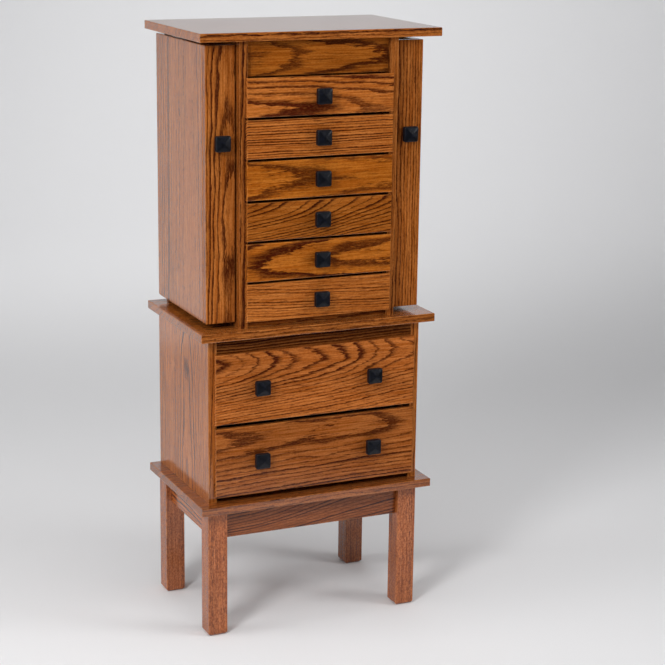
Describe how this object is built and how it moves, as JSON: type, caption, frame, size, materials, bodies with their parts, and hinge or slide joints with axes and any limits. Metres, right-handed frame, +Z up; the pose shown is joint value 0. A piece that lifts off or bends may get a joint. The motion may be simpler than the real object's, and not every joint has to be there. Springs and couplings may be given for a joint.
{
  "type": "jewelry armoire",
  "caption": "Free-standing storage armoire for jewelry on four square legs, with lipped drawers, a flip-top lid with a mirror, and hinged side compartments with necklace hooks.",
  "frame": {"origin": "on the floor, below the centre of the piece's bounding box", "axes": "+Z up, front with the drawers towards -Y, +X towards the viewer's right"},
  "size_m": [0.571, 0.377, 1.372],
  "materials": {
    "stained_oak": "satin lacquer over brown stain",
    "drawer_maple": "pale, sealed",
    "black_iron": "hammered black",
    "brass": "satin",
    "mirror_glass": "polished"
  },
  "bodies": {
    "cabinet": {"apron_front": "stained_oak", "apron_left": "stained_oak", "apron_rear": "stained_oak", "apron_right": "stained_oak", "base_board": "stained_oak", "door_left_hinge_fixed_leaf": "brass", "door_left_hinge_pin": "brass", "door_right_hinge_fixed_leaf": "brass", "door_right_hinge_pin": "brass", "fascia_panel": "stained_oak", "leg_front_left": "stained_oak", "leg_front_right": "stained_oak", "leg_rear_left": "stained_oak", "leg_rear_right": "stained_oak", "lid_hinge_fixed_leaf": "brass", "lid_hinge_pin": "brass", "lower_back": "stained_oak", "lower_side_left": "stained_oak", "lower_side_right": "stained_oak", "lower_top_rail": "stained_oak", "middle_board": "stained_oak", "ring_tray_floor": "stained_oak", "upper_back": "stained_oak", "upper_bottom_rail": "stained_oak", "upper_side_left": "stained_oak", "upper_side_right": "stained_oak"},
    "lid": {"top_lid": "stained_oak", "lid_mirror": "mirror_glass", "mirror_frame": "stained_oak", "lid_hinge_moving_leaf": "brass"},
    "door_left": {"door_left_side": "stained_oak", "door_left_front": "stained_oak", "door_left_hooks": "brass", "door_left_knob": "black_iron", "door_left_hinge_moving_leaf": "brass"},
    "door_right": {"door_right_side": "stained_oak", "door_right_front": "stained_oak", "door_right_hooks": "brass", "door_right_knob": "black_iron", "door_right_hinge_moving_leaf": "brass"},
    "small_drawer_1": {"small_drawer_1": "stained_oak", "small_drawer_1_knob": "black_iron"},
    "small_drawer_2": {"small_drawer_2": "stained_oak", "small_drawer_2_knob": "black_iron"},
    "small_drawer_3": {"small_drawer_3": "stained_oak", "small_drawer_3_knob": "black_iron"},
    "small_drawer_4": {"small_drawer_4": "stained_oak", "small_drawer_4_knob": "black_iron"},
    "small_drawer_5": {"small_drawer_5": "stained_oak", "small_drawer_5_knob": "black_iron"},
    "small_drawer_6": {"small_drawer_6": "stained_oak", "small_drawer_6_knob": "black_iron"},
    "large_drawer_top": {"large_drawer_top_front": "stained_oak", "large_drawer_top_box": "drawer_maple", "large_drawer_top_knob_left": "black_iron", "large_drawer_top_knob_right": "black_iron"},
    "large_drawer_bottom": {"large_drawer_bottom_front": "stained_oak", "large_drawer_bottom_box": "drawer_maple", "large_drawer_bottom_knob_left": "black_iron", "large_drawer_bottom_knob_right": "black_iron"}
  },
  "joints": [
    {"name": "lid_hinge", "type": "hinge", "parent": "cabinet", "child": "lid", "pos_m": [0, 0.18605, 1.3502], "axis": [-1, 0, 0], "range_deg": [0, 95]},
    {"name": "door_left_hinge", "type": "hinge", "parent": "cabinet", "child": "door_left", "pos_m": [-0.2405, 0.18605, 1.0385], "axis": [0, 0, -1], "range_deg": [0, 90]},
    {"name": "door_right_hinge", "type": "hinge", "parent": "cabinet", "child": "door_right", "pos_m": [0.2405, 0.18605, 1.0385], "axis": [0, 0, 1], "range_deg": [0, 90]},
    {"name": "small_drawer_1_slide", "type": "slide", "parent": "cabinet", "child": "small_drawer_1", "axis": [0, -1, 0], "range_m": [0, 0.24]},
    {"name": "small_drawer_2_slide", "type": "slide", "parent": "cabinet", "child": "small_drawer_2", "axis": [0, -1, 0], "range_m": [0, 0.24]},
    {"name": "small_drawer_3_slide", "type": "slide", "parent": "cabinet", "child": "small_drawer_3", "axis": [0, -1, 0], "range_m": [0, 0.24]},
    {"name": "small_drawer_4_slide", "type": "slide", "parent": "cabinet", "child": "small_drawer_4", "axis": [0, -1, 0], "range_m": [0, 0.24]},
    {"name": "small_drawer_5_slide", "type": "slide", "parent": "cabinet", "child": "small_drawer_5", "axis": [0, -1, 0], "range_m": [0, 0.24]},
    {"name": "small_drawer_6_slide", "type": "slide", "parent": "cabinet", "child": "small_drawer_6", "axis": [0, -1, 0], "range_m": [0, 0.24]},
    {"name": "large_drawer_top_slide", "type": "slide", "parent": "cabinet", "child": "large_drawer_top", "axis": [0, -1, 0], "range_m": [0, 0.24]},
    {"name": "large_drawer_bottom_slide", "type": "slide", "parent": "cabinet", "child": "large_drawer_bottom", "axis": [0, -1, 0], "range_m": [0, 0.24]}
  ]
}
